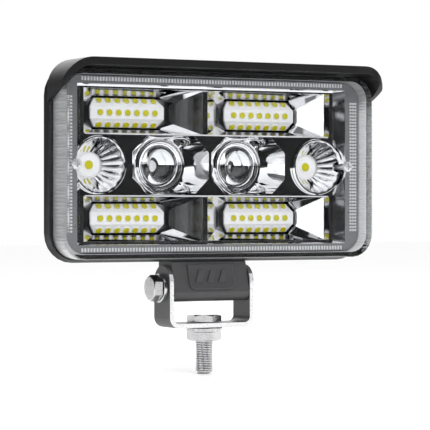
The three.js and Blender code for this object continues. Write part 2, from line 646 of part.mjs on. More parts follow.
place('breather_plug', makeVent(), rubber);
place('u_bracket', makeBracket(), coatedSteel);
place('pivot_bolt', makePivotBolt(), steel);
place('pivot_washer', makePivotWasher(), steel);
place('pivot_pin', makePivotPin(), steel);
place('mount_bolt', makeMountBolt(), steel);
place('mount_washer', makeMountWasher(), steel);
place('mount_nut', makeMountNut(), steel);

export default root;
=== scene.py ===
"""LED fog light: visor, clear lens, chrome reflector and a tilting U bracket."""
import math

import bmesh
import bpy
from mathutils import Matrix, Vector


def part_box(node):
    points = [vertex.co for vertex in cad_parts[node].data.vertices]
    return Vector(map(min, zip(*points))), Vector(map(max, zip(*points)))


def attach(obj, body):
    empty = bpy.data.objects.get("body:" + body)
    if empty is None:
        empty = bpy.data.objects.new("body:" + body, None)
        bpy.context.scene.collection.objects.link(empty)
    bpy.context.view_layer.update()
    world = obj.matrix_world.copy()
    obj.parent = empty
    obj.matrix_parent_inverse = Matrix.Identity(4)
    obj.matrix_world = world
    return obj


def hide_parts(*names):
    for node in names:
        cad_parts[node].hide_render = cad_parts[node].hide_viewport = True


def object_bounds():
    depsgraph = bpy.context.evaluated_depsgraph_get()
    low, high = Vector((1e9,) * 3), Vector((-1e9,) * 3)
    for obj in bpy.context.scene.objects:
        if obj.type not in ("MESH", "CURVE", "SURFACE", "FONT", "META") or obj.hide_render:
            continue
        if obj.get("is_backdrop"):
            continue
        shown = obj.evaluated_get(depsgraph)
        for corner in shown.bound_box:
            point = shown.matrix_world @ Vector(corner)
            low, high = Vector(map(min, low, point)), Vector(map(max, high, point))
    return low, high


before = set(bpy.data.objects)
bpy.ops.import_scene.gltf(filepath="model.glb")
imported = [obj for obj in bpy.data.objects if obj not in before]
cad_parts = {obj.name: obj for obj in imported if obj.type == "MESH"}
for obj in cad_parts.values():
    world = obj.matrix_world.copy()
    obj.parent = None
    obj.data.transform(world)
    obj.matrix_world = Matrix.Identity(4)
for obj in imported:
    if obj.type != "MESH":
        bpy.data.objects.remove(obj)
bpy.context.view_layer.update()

bl_info = {
    "name": "Fog Light",
    "version": (1, 0, 0),
    "blender": (4, 5, 0),
    "location": "View3D > Sidebar > Fog Light",
    "description": "Builds a visored LED fog light around its packed frame",
    "category": "Object",
}

MM = 0.001
SIDES = (("left", -1), ("right", 1))
ROWS = ("upper", "lower")
TURN = 64           # steps in a full turn
PIVOT_HEX = 10.0    # the pivot bolt's head across its flats
MOUNT_HEX = 13.0    # the mounting bolt's head and its nut across their flats


# ---- places and sizes taken from the frame, in millimetres ----------------------
def box_mm(*nodes):
    """Lowest and highest corner around these nodes."""
    boxes = [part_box(node) for node in nodes]
    low = Vector([min(box[0][axis] for box in boxes) / MM for axis in range(3)])
    high = Vector([max(box[1][axis] for box in boxes) / MM for axis in range(3)])
    return low, high


def centre_mm(node):
    low, high = box_mm(node)
    return (low + high) / 2


LENS_LOW, LENS_HIGH = box_mm("lens_cover")
HEAD_Z = (LENS_LOW.z + LENS_HIGH.z) / 2     # height of the lens's middle
LENS_X = LENS_HIGH.x                        # half the lens's width
FRONT_Y = box_mm("reflector")[0].y          # the reflector's front face
PIVOT_Z = centre_mm("pivot_bolt").z         # height of the tilt's axis


# ---- what a user would change -----------------------------------------------------
class FogLightSizes(bpy.types.PropertyGroup):
    """Sizes of the repeated and decorated details, in metres."""
    led_pitch: bpy.props.FloatProperty(
        name="LED pitch", description="Spacing of the LEDs along a board",
        default=4.35 * MM, unit="LENGTH")
    led_rows_apart: bpy.props.FloatProperty(
        name="LED row spacing", description="Height between two rows of LEDs",
        default=4.95 * MM, unit="LENGTH")
    led_dot: bpy.props.FloatProperty(
        name="LED dot", description="Diameter of the phosphor on one LED",
        default=2.7 * MM, unit="LENGTH")
    rib_pitch: bpy.props.FloatProperty(
        name="Rib pitch", description="Spacing of the light-catching ribs round the reflector",
        default=1.4 * MM, unit="LENGTH")
    flutes: bpy.props.IntProperty(
        name="Cup flutes", description="Flutes round each cup", default=18, min=6, max=48)
    thread_pitch: bpy.props.FloatProperty(
        name="Thread pitch", description="Pitch of the stud's thread",
        default=1.0 * MM, unit="LENGTH")


class FogLightColours(bpy.types.PropertyGroup):
    """Base colours of the finishes."""
    paint: bpy.props.FloatVectorProperty(
        name="Powder coat", description="Colour of the housing's coat",
        subtype="COLOR", size=3, default=(0.008, 0.008, 0.009))
    hood: bpy.props.FloatVectorProperty(
        name="Visor plastic", description="Colour of the visor",
        subtype="COLOR", size=3, default=(0.005, 0.005, 0.0055))
    # Painted light: the foot block gets a lighter grey than the housing's coat, standing in for the
    # light on its front
    foot: bpy.props.FloatVectorProperty(
        name="Foot coat with painted light", description="Colour of the foot block",
        subtype="COLOR", size=3, default=(0.038, 0.038, 0.04))
    bracket: bpy.props.FloatVectorProperty(
        name="Bracket coat", description="Colour of the bracket",
        subtype="COLOR", size=3, default=(0.05, 0.05, 0.052))
    board: bpy.props.FloatVectorProperty(
        name="Board", description="Colour of the LED boards",
        subtype="COLOR", size=3, default=(0.86, 0.86, 0.87))
    phosphor: bpy.props.FloatVectorProperty(
        name="Phosphor", description="Colour of the LED dots",
        subtype="COLOR", size=3, default=(0.6, 0.56, 0.006))


# ---- mesh building --------------------------------------------------------------------
def add_rings(bm, rings, closed=False):
    """Joins rings of points with quads; an open run gets a cap at each end."""
    loops = [[bm.verts.new(point) for point in ring] for ring in rings]
    count = len(loops[0])
    pairs = list(zip(loops, loops[1:]))
    if closed:
        pairs.append((loops[-1], loops[0]))
    for first, second in pairs:
        for i in range(count):
            j = (i + 1) % count
            bm.faces.new((first[i], first[j], second[j], second[i]))
    if not closed:
        bm.faces.new(loops[0])
        bm.faces.new(reversed(loops[-1]))


def circle(radius, along, centre, axis="Y", count=TURN, turn=0.0):
    """Points of a circle about an axis through centre, at a place along that axis."""
    points = []
    for i in range(count):
        angle = 2 * math.pi * i / count + turn
        u, v = radius * math.cos(angle), radius * math.sin(angle)
        if axis == "X":
            points.append((along, centre[0] + u, centre[1] + v))
        elif axis == "Y":
            points.append((centre[0] + u, along, centre[1] + v))
        else:
            points.append((centre[0] + u, centre[1] + v, along))
    return points


def add_turned(bm, profile, centre, axis="Y", count=TURN, closed=False):
    """A turned solid; profile holds (radius, place along the axis)."""
    rings = [circle(max(radius, 1e-5), along, centre, axis, count) for radius, along in profile]
    add_rings(bm, rings, closed)


def small_block(half_u, half_v, steps):
    """A small rectangular block that narrows as it rises; steps holds (height, inset)."""
    rings = []
    for height, inset in steps:
        u, v = half_u - inset, half_v - inset
        rings.append([(-u, -v, height), (u, -v, height), (u, v, height), (-u, v, height)])
    bm = bmesh.new()
    add_rings(bm, rings)
    return bm


def add_box(bm, low, high):
    """A box between two corners."""
    add_rings(bm, [[(low[0], y, low[2]), (high[0], y, low[2]), (high[0], y, high[2]),
                    (low[0], y, high[2])] for y in (low[1], high[1])])


def arc(centre, radius, start, end, steps=8):
    """Points on an arc in a plane; angles in degrees."""
    points = []
    for i in range(steps + 1):
        angle = math.radians(start + (end - start) * i / steps)
        points.append((centre[0] + radius * math.cos(angle), centre[1] + radius * math.sin(angle)))
    return points


def evaluated_mesh(obj):
    """The object's mesh with its modifiers applied."""
    bpy.context.view_layer.update()
    depsgraph = bpy.context.evaluated_depsgraph_get()
    return bpy.data.meshes.new_from_object(obj.evaluated_get(depsgraph))


def bake_modifiers(obj):
    mesh = evaluated_mesh(obj)
    obj.modifiers.clear()
    obj.data = mesh


def link(obj):
    bpy.context.scene.collection.objects.link(obj)
    return obj


def mesh_from(bm, name, material, merge=1e-3):
    """Turns millimetre geometry into a clean mesh in metres."""
    bmesh.ops.remove_doubles(bm, verts=bm.verts, dist=merge)
    bmesh.ops.dissolve_degenerate(bm, edges=bm.edges, dist=1e-4)
    bmesh.ops.recalc_face_normals(bm, faces=bm.faces)
    bmesh.ops.scale(bm, vec=(MM, MM, MM), verts=bm.verts)
    mesh = bpy.data.meshes.new(name)
    bm.to_mesh(mesh)
    bm.free()
    mesh.materials.append(material)
    return mesh


def finish_piece(obj, body, nodes=(), bevel=0.0, segments=2, sharp=38):
    """Rounds the edges, shades the piece, puts it on its body, and hides the CAD nodes it stands
    for.
    """
    obj.data.shade_smooth()
    obj.data.set_sharp_from_angle(angle=math.radians(sharp))
    if bevel:
        rounding = obj.modifiers.new("Rounded edges", "BEVEL")
        rounding.width = bevel * MM
        rounding.segments = segments
        rounding.limit_method = "ANGLE"
        rounding.angle_limit = math.radians(30)
        weighted = obj.modifiers.new("Flat faces", "WEIGHTED_NORMAL")
        weighted.keep_sharp = True
        bake_modifiers(obj)
    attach(obj, body)
    if nodes:
        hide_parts(*nodes)
    return obj


def refined_copy(node, finish, body, bevel, segments=2):
    """A CAD node's shape, merged, cleaned of coplanar edges, and with rounded edges."""
    same_point, flat = 2e-6, math.radians(2.0)
    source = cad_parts[node]
    bm = bmesh.new()
    bm.from_mesh(source.data)
    bmesh.ops.remove_doubles(bm, verts=bm.verts, dist=same_point)
    bmesh.ops.dissolve_limit(bm, angle_limit=flat, verts=bm.verts, edges=bm.edges)
    bmesh.ops.recalc_face_normals(bm, faces=bm.faces)
    mesh = bpy.data.meshes.new(node + "_fine")
    bm.to_mesh(mesh)
    bm.free()
    mesh.materials.append(finish_of(finish))
    obj = link(bpy.data.objects.new(node + "_fine", mesh))
    return finish_piece(obj, body, (node,), bevel, segments)


def join_pieces(objects, name):
    """Several loose mesh objects become one."""
    bm = bmesh.new()
    materials = []
    for obj in objects:
        start = len(bm.faces)
        bm.from_mesh(obj.data)
        bm.faces.ensure_lookup_table()
        used = obj.data.materials[0]
        if used not in materials:
            materials.append(used)
        for face in bm.faces[start:]:
            face.material_index = materials.index(used)
    mesh = bpy.data.meshes.new(name)
    bm.to_mesh(mesh)
    bm.free()
    for material in materials:
        mesh.materials.append(material)
    for obj in objects:
        bpy.data.objects.remove(obj, do_unlink=True)
    return link(bpy.data.objects.new(name, mesh))


# ---- repeated details by Geometry Nodes ------------------------------------------------
def array_tree():
    """A grid of copies on a tilted face, with its sizes as named inputs."""
    if "Copies on a face" in bpy.data.node_groups:
        return bpy.data.node_groups["Copies on a face"]
    tree = bpy.data.node_groups.new("Copies on a face", "GeometryNodeTree")
    face = tree.interface
    face.new_socket("Geometry", in_out="INPUT", socket_type="NodeSocketGeometry")
    for label, kind in (("Count Across", "NodeSocketInt"), ("Count Up", "NodeSocketInt"),
                        ("Pitch Across", "NodeSocketFloat"), ("Pitch Up", "NodeSocketFloat"),
                        ("Tilt", "NodeSocketFloat"), ("Place", "NodeSocketVector"),
                        ("Copy", "NodeSocketObject"), ("Material", "NodeSocketMaterial")):
        face.new_socket(label, in_out="INPUT", socket_type=kind)
    face.new_socket("Geometry", in_out="OUTPUT", socket_type="NodeSocketGeometry")
    given = tree.nodes.new("NodeGroupInput").outputs

    def span(count, pitch):
        gaps = math_node(tree, "SUBTRACT", given[count], 1.0)
        return math_node(tree, "MULTIPLY", gaps, given[pitch])

    grid = add(tree, "GeometryNodeMeshGrid", {
        "Size X": span("Count Across", "Pitch Across"), "Size Y": span("Count Up", "Pitch Up"),
        "Vertices X": given["Count Across"], "Vertices Y": given["Count Up"]})
    info = add(tree, "GeometryNodeObjectInfo", {"Object": given["Copy"]})
    copies = add(tree, "GeometryNodeInstanceOnPoints", {
        "Points": grid.outputs["Mesh"], "Instance": info.outputs["Geometry"]})
    turn = add(tree, "ShaderNodeCombineXYZ", {"X": given["Tilt"]})
    place = add(tree, "GeometryNodeTransform", {
        "Geometry": copies.outputs["Instances"], "Translation": given["Place"],
        "Rotation": turn.outputs["Vector"]})
    real = add(tree, "GeometryNodeRealizeInstances", {"Geometry": place.outputs["Geometry"]})
    paint = add(tree, "GeometryNodeSetMaterial", {
        "Geometry": real.outputs["Geometry"], "Material": given["Material"]})
    tree.links.new(paint.outputs["Geometry"],
                   tree.nodes.new("NodeGroupOutput").inputs["Geometry"])
    return tree


def copies_on_face(name, template, material, across, up, pitch, tilt, place):
    """A plain mesh of copies: counts, pitches (m), tilt (rad) and place (m) set the grid."""
    obj = link(bpy.data.objects.new(name, bpy.data.meshes.new(name)))
    modifier = obj.modifiers.new("Copies", "NODES")
    modifier.node_group = array_tree()
    values = {"Count Across": across, "Count Up": up, "Pitch Across": pitch[0],
              "Pitch Up": pitch[1], "Tilt": tilt, "Place": place, "Copy": template,
              "Material": material}
    for item in modifier.node_group.interface.items_tree:
        if item.in_out == "INPUT" and item.name in values:
            modifier[item.identifier] = values[item.name]
    bake_modifiers(obj)
    if not obj.data.materials:
        obj.data.materials.append(material)
    return obj


# ---- finishes ---------------------------------------------------------------------------
def add(tree, kind, inputs=None, **settings):
    """A node with its settings, and inputs that are values or sockets."""
    node = tree.nodes.new(kind)
    for name, value in settings.items():
        setattr(node, name, value)
    for key, value in (inputs or {}).items():
        if isinstance(value, bpy.types.NodeSocket):
            tree.links.new(value, node.inputs[key])
        else:
            node.inputs[key].default_value = value
    return node


def math_node(tree, operation, first, second=0.0):
    return add(tree, "ShaderNodeMath", {0: first, 1: second}, operation=operation).outputs[0]


def mix_colours(tree, factor, first, second):
    """A Mix node's first socket is its factor; its colours are the seventh and eighth."""
    mix = add(tree, "ShaderNodeMix", {0: factor, 6: first, 7: second}, data_type="RGBA")
    return mix.outputs[2]


def shader_group(name, inputs, outputs):
    """An empty shader group with named sockets: the tree, its inputs and its outputs."""
    tree = bpy.data.node_groups.new(name, "ShaderNodeTree")
    for label, kind, value in inputs:
        tree.interface.new_socket(label, in_out="INPUT", socket_type=kind).default_value = value
    for label, kind in outputs:
        tree.interface.new_socket(label, in_out="OUTPUT", socket_type=kind)
    return tree, tree.nodes.new("NodeGroupInput").outputs, tree.nodes.new("NodeGroupOutput").inputs


def surface_group():
    """Patches of colour and gloss, and a fine grain, over any finish."""
    name = "Surface variation"
    if name in bpy.data.node_groups:
        return bpy.data.node_groups[name]
    tree, given, result = shader_group(
        name,
        (("Color", "NodeSocketColor", (0.5, 0.5, 0.5, 1.0)),
         ("Patch Size", "NodeSocketFloat", 0.02), ("Patch Shade", "NodeSocketFloat", 0.2),
         ("Roughness", "NodeSocketFloat", 0.4), ("Roughness Range", "NodeSocketFloat", 0.1),
         ("Grain Size", "NodeSocketFloat", 0.0005),
         ("Grain Stretch", "NodeSocketVector", (1.0, 1.0, 1.0))),
        (("Color", "NodeSocketColor"), ("Roughness", "NodeSocketFloat"),
         ("Height", "NodeSocketFloat")))
    place = add(tree, "ShaderNodeTexCoord").outputs["Object"]
    patch = add(tree, "ShaderNodeTexNoise", {
        "Vector": place, "Scale": math_node(tree, "DIVIDE", 1.0, given["Patch Size"]),
        "Detail": 4.0}).outputs["Fac"]
    stretched = add(tree, "ShaderNodeVectorMath", {0: place, 1: given["Grain Stretch"]},
                    operation="MULTIPLY").outputs[0]
    grain = add(tree, "ShaderNodeTexNoise", {
        "Vector": stretched, "Scale": math_node(tree, "DIVIDE", 1.0, given["Grain Size"]),
        "Detail": 2.0}).outputs["Fac"]
    darker = mix_colours(tree, math_node(tree, "MULTIPLY", patch, given["Patch Shade"]),
                         given["Color"], (0.0, 0.0, 0.0, 1.0))
    tree.links.new(darker, result["Color"])
    both = math_node(tree, "ADD", patch, grain)
    spread = math_node(tree, "MULTIPLY", math_node(tree, "SUBTRACT", both, 1.0),
                       given["Roughness Range"])
    rough = add(tree, "ShaderNodeMath", {0: given["Roughness"], 1: spread},
                operation="ADD", use_clamp=True).outputs[0]
    tree.links.new(rough, result["Roughness"])
    tree.links.new(grain, result["Height"])
    return tree


def wear_group():
    """Edges rubbed through to what lies under a coat."""
    name = "Edge wear"
    if name in bpy.data.node_groups:
        return bpy.data.node_groups[name]
    tree, given, result = shader_group(
        name,
        (("Color", "NodeSocketColor", (0.5, 0.5, 0.5, 1.0)),
         ("Worn Color", "NodeSocketColor", (0.5, 0.5, 0.5, 1.0)),
         ("Amount", "NodeSocketFloat", 0.5), ("Chip Size", "NodeSocketFloat", 0.002)),
        (("Color", "NodeSocketColor"), ("Mask", "NodeSocketFloat")))
    edge = add(tree, "ShaderNodeMapRange", {
        "Value": add(tree, "ShaderNodeNewGeometry").outputs["Pointiness"],
        "From Min": 0.53, "From Max": 0.62}).outputs["Result"]
    chips = add(tree, "ShaderNodeTexNoise", {
        "Vector": add(tree, "ShaderNodeTexCoord").outputs["Object"],
        "Scale": math_node(tree, "DIVIDE", 1.0, given["Chip Size"]), "Detail": 3.0}).outputs["Fac"]
    ragged = math_node(tree, "MULTIPLY", math_node(tree, "MULTIPLY", edge, chips), given["Amount"])
    mixed = mix_colours(tree, ragged, given["Color"], given["Worn Color"])
    tree.links.new(mixed, result["Color"])
    tree.links.new(ragged, result["Mask"])
    return tree


def stripe_group():
    """Fine ribs at equal steps along one direction, kept to one side of a plane."""
    name = "Moulded ribs"
    if name in bpy.data.node_groups:
        return bpy.data.node_groups[name]
    tree, given, result = shader_group(
        name,
        (("Direction", "NodeSocketVector", (0.0, 0.0, 1.0)), ("Pitch", "NodeSocketFloat", 0.001),
         ("Side Axis", "NodeSocketVector", (1.0, 0.0, 0.0)), ("Beyond", "NodeSocketFloat", 0.05)),
        (("Height", "NodeSocketFloat"), ("Mask", "NodeSocketFloat")))
    place = add(tree, "ShaderNodeTexCoord").outputs["Object"]
    along = add(tree, "ShaderNodeVectorMath", {0: place, 1: given["Direction"]},
                operation="DOT_PRODUCT").outputs["Value"]
    wave = math_node(tree, "PINGPONG", math_node(tree, "DIVIDE", along, given["Pitch"]), 0.5)
    out = math_node(tree, "ABSOLUTE", add(
        tree, "ShaderNodeVectorMath", {0: place, 1: given["Side Axis"]},
        operation="DOT_PRODUCT").outputs["Value"])
    mask = math_node(tree, "GREATER_THAN", out, given["Beyond"])
    tree.links.new(math_node(tree, "MULTIPLY", wave, mask), result["Height"])
    tree.links.new(mask, result["Mask"])
    return tree


def use_group(tree, group, values):
    return add(tree, "ShaderNodeGroup", values, node_tree=group)


def coat(name, colour, rough, spread=0.1, patch=(0.02, 0.25), grain=(0.0005, (1, 1, 1), 0.2),
         worn=None, shader=None):
    """A finish: its colour and gloss vary in patches, and its grain raises it slightly.

    patch is (size, shade), grain (size, stretch, bump strength), worn (colour, amount).
    """
    material = bpy.data.materials.new(name)
    material.use_nodes = True
    tree = material.node_tree
    surface = tree.nodes["Principled BSDF"]
    effect = use_group(tree, surface_group(), {
        "Color": (*colour, 1.0), "Patch Size": patch[0], "Patch Shade": patch[1],
        "Roughness": rough, "Roughness Range": spread, "Grain Size": grain[0],
        "Grain Stretch": grain[1]})
    shown = effect.outputs["Color"]
    if worn:
        shown = use_group(tree, wear_group(), {
            "Color": shown, "Worn Color": (*worn[0], 1.0), "Amount": worn[1]}).outputs["Color"]
    tree.links.new(shown, surface.inputs["Base Color"])
    tree.links.new(effect.outputs["Roughness"], surface.inputs["Roughness"])
    bump = add(tree, "ShaderNodeBump", {
        "Height": effect.outputs["Height"], "Strength": grain[2], "Distance": 0.0001})
    tree.links.new(bump.outputs[0], surface.inputs["Normal"])
    for key, value in (shader or {}).items():
        surface.inputs[key].default_value = value
    return material


def sizes():
    return bpy.context.scene.fog_light_sizes


EVEN = (1, 1, 1)            # a grain that is alike in every direction


def plain_finishes():
    """What coat() takes, after the name, for each finish that needs nothing more."""
    colours = bpy.context.scene.fog_light_colours
    metal, dull = {"Metallic": 1.0}, {"Specular IOR Level": 0.3}
    return {
        "black_paint": (colours.paint, 0.42, 0.18, (0.03, 0.3), (0.0007, EVEN, 0.35),
                        ((0.09, 0.09, 0.09), 0.5), dull),
        # Painted light: the foot's lighter grey stands in for the light falling on its front
        "lit_foot_paint": (colours.foot, 0.45, 0.15, (0.012, 0.2), (0.0005, EVEN, 0.35),
                       ((0.14, 0.14, 0.14), 0.6)),
        "black_plastic": (colours.hood, 0.38, 0.12, (0.05, 0.25), (0.0004, EVEN, 0.4),
                          ((0.06, 0.06, 0.06), 0.5), dull),
        "black_rubber": ((0.012, 0.012, 0.012), 0.7, 0.15, (0.01, 0.3), (0.0003, EVEN, 0.5)),
        "coated_steel": (colours.bracket, 0.46, 0.16, (0.015, 0.25), (0.0004, EVEN, 0.35),
                         ((0.3, 0.3, 0.3), 0.5), {"Coat Weight": 0.15}),
        "chrome": ((0.9, 0.9, 0.91), 0.045, 0.03, (0.008, 0.05), (0.004, EVEN, 0.04), None, metal),
        "satin_ribs": ((0.86, 0.86, 0.87), 0.32, 0.1, (0.003, 0.2), (0.0006, EVEN, 0.1), None,
                       {"Metallic": 0.45}),
        "satin_flange": ((0.3, 0.3, 0.31), 0.3, 0.1, (0.003, 0.25), (0.0006, EVEN, 0.15), None,
                         {"Metallic": 0.7}),
        # Also laid on the bracket's front and back edges as a painted highlight
        "zinc_steel_and_edge_highlight": ((0.82, 0.82, 0.83), 0.28, 0.12, (0.002, 0.2), (0.0003, EVEN, 0.15), None,
                       {"Metallic": 0.6}),
        "aluminium": ((0.62, 0.62, 0.63), 0.42, 0.2, (0.006, 0.25), (0.0006, EVEN, 0.3), None,
                      metal),
        "bright_steel": ((0.78, 0.78, 0.79), 0.2, 0.1, (0.004, 0.2), (0.0003, (1, 1, 6), 0.15),
                         None, metal),
        "white_board": (colours.board, 0.4, 0.15, (0.004, 0.08), (0.0003, EVEN, 0.15), None,
                        {"Coat Weight": 0.3}),
        "led_package": ((0.8, 0.8, 0.82), 0.35, 0.1, (0.002, 0.12), (0.0002, EVEN, 0.1)),
        "phosphor": (colours.phosphor, 0.3, 0.15, (0.0012, 0.25), (0.0001, EVEN, 0.3), None,
                     {"Coat Weight": 0.4}),
    }


def circuit_board(name):
    """Green mask over copper tracks that run in steps."""
    material = coat(name, (0.015, 0.12, 0.04), 0.35, 0.12, (0.005, 0.2),
                    (0.0003, EVEN, 0.15), None, {"Coat Weight": 0.4})
    tree = material.node_tree
    surface = tree.nodes["Principled BSDF"]
    tracks = add(tree, "ShaderNodeTexBrick", {
        "Vector": add(tree, "ShaderNodeTexCoord").outputs["Object"], "Scale": 260.0,
        "Color1": (0.02, 0.16, 0.05, 1), "Color2": (0.012, 0.09, 0.03, 1),
        "Mortar": (0.05, 0.3, 0.08, 1), "Mortar Size": 0.03})
    tree.links.new(tracks.outputs["Color"], surface.inputs["Base Color"])
    return material


def glassy(name, index, tint, rough, wave):
    """Clear moulding that lets light from outside through to what it covers."""
    material = coat(name, tint, rough, rough, (0.03, 0.03), (wave, EVEN, 0.02), None,
                    {"Transmission Weight": 1.0, "IOR": index})
    clear_to_shadows(material)
    return material


def clear_to_shadows(material):
    """Shadow rays pass, so that light from outside reaches what is behind."""
    tree = material.node_tree
    shadow = add(tree, "ShaderNodeLightPath").outputs["Is Shadow Ray"]
    tree.links.new(math_node(tree, "SUBTRACT", 1.0, shadow),
                   tree.nodes["Principled BSDF"].inputs["Alpha"])


def add_ribs(material, pitch, inside, strength, height):
    """Fine ribs, at a pitch in metres, on walls less than inside mm from the lens's sides."""
    tree = material.node_tree
    normal = tree.nodes["Principled BSDF"].inputs["Normal"]
    ribs = use_group(tree, stripe_group(), {
        "Direction": (0.0, 0.0, 1.0), "Pitch": pitch, "Side Axis": (1.0, 0.0, 0.0),
        "Beyond": (LENS_X - inside) * MM})
    ribbed = add(tree, "ShaderNodeBump", {
        "Height": ribs.outputs["Height"], "Strength": strength, "Distance": height,
        "Normal": normal.links[0].from_socket})
    tree.links.new(ribbed.outputs[0], normal)


def clear_lens(name):
    """Clear polycarbonate, with fine ribs moulded down its side walls."""
    material = glassy(name, 1.22, (0.97, 0.98, 0.99), 0.015, 0.02)
    add_ribs(material, 0.0016, 2.6, 0.5, 0.0006)
    return material


def frosted_ribs(name):
    """Frosted polycarbonate with fine ribs, for the inside of the lens's walls."""
    material = coat(name, (0.84, 0.85, 0.86), 0.35, 0.1, (0.01, 0.12), (0.0006, EVEN, 0.1), None,
                    {"Transmission Weight": 0.3, "IOR": 1.58})
    add_ribs(material, 0.0012, 4.0, 0.8, 0.0008)
    clear_to_shadows(material)
    return material


def optic_glass(name):
    return glassy(name, 1.52, (0.98, 0.99, 0.99), 0.008, 0.01)


def finish_of(name):
    """The material of that finish, made when first asked for."""
    label = "fog light " + name
    if label not in bpy.data.materials:
        special = {make.__name__: make
                   for make in (circuit_board, clear_lens, frosted_ribs, optic_glass)}
        if name in special:
            special[name](label)
        else:
            coat(label, *plain_finishes()[name])
    return bpy.data.materials[label]


# ---- operators ---------------------------------------------------------------------------
def cut_with(obj, cutter_bm, operation="DIFFERENCE"):
    """A boolean of the object with millimetre geometry, applied at once."""
    cutter = link(bpy.data.objects.new(
        "cutter", mesh_from(cutter_bm, "cutter", obj.data.materials[0])))
    boolean = obj.modifiers.new("Cut", "BOOLEAN")
    boolean.operation = operation
    boolean.solver = "EXACT"
    boolean.object = cutter
    bake_modifiers(obj)
    bpy.data.objects.remove(cutter, do_unlink=True)
    if not obj.data.polygons:
        raise RuntimeError(f"nothing is left of {obj.name} after a cut")


def loose_piece(name, bm, finish):
    return link(bpy.data.objects.new(name, mesh_from(bm, name, finish_of(finish))))


def turned_piece(name, finish, profile, at, axis="Y", count=TURN, closed=False):
    bm = bmesh.new()
    add_turned(bm, profile, at, axis, count, closed)
    return loose_piece(name, bm, finish)


class FOGLIGHT_OT_housing(bpy.types.Operator):
    """Cast housing with its fins, foot block and panel, gasket, gland and breather"""
    bl_idname = "foglight.housing"
    bl_label = "Housing"
    bl_options = {"REGISTER", "UNDO"}

    def execute(self, context):
        refined_copy("housing", "black_paint", "head", 0.5)
        refined_copy("foot_block", "lit_foot_paint", "head", 0.6, 3)
        refined_copy("lens_gasket", "black_rubber", "head", 0.25)
        refined_copy("cable_gland", "black_plastic", "head", 0.35)
        refined_copy("breather_plug", "black_plastic", "head", 0.3)
        self.panel()
        return {"FINISHED"}

    def panel(self):
        """A raised panel on the foot's sloping face, with slanted bars on it."""
        top, bottom = Vector((0, -4.3, 27.4)), Vector((0, -7.6, 15.6))
        down = (bottom - top).normalized()
        across = Vector((1, 0, 0))
        outward = across.cross(down)
        if outward.y > 0:
            outward = -outward
        long = (bottom - top).length

        def plate(shape, low, high):
            bm = bmesh.new()
            rings = [[top + across * x + down * s + outward * height for x, s in shape]
                     for height in (low, high)]
            add_rings(bm, rings)
            return bm

        half, corner = 11.0, 3.2
        shape = [(-half, 0.4), (half, 0.4)]
        shape += [(half - corner + x, long - 0.6 - corner + s)
                  for x, s in arc((0, 0), corner, 0, 90, 6)]
        shape += [(-half + corner + x, long - 0.6 - corner + s)
                  for x, s in arc((0, 0), corner, 90, 180, 6)]
        panel = loose_piece("foot_panel", plate(shape, -1.0, 1.0), "lit_foot_paint")
        finish_piece(panel, "head", bevel=0.35, segments=3)
        for index, middle in enumerate((-5.6, 0.0, 5.6)):
            lean, wide = 1.1, 1.5
            bar = [(middle - wide + lean, 3.0), (middle + wide + lean, 3.0),
                   (middle + wide - lean, 8.4), (middle - wide - lean, 8.4)]
            rib = loose_piece(f"foot_bar_{index + 1}", plate(bar, 0.6, 1.75), "lit_foot_paint")
            finish_piece(rib, "head", bevel=0.3, segments=3)


class FOGLIGHT_OT_visor(bpy.types.Operator):
    """Visor over the lens"""
    bl_idname = "foglight.visor"
    bl_label = "Visor"
    bl_options = {"REGISTER", "UNDO"}

    def execute(self, context):
        refined_copy("visor", "black_plastic", "head", 0.7, 3)
        return {"FINISHED"}


class FOGLIGHT_OT_lens(bpy.types.Operator):
    """Clear box lens"""
    bl_idname = "foglight.lens"
    bl_label = "Lens"
    bl_options = {"REGISTER", "UNDO"}

    def execute(self, context):
        lens = refined_copy("lens_cover", "clear_lens", "head", 0.6, 3)
        self.frost_inside(lens)
        return {"FINISHED"}

    def frost_inside(self, lens):
        """The inner faces of the side walls are moulded with fine frosted ribs."""
        lens.data.materials.append(finish_of("frosted_ribs"))
        middle = Vector((0.0, 0.0, HEAD_Z)) * MM
        for face in lens.data.polygons:
            outward = face.center - middle
            outward.y = 0.0
            if abs(face.normal.y) < 0.3 and face.normal.dot(outward) < 0:
                face.material_index = 1


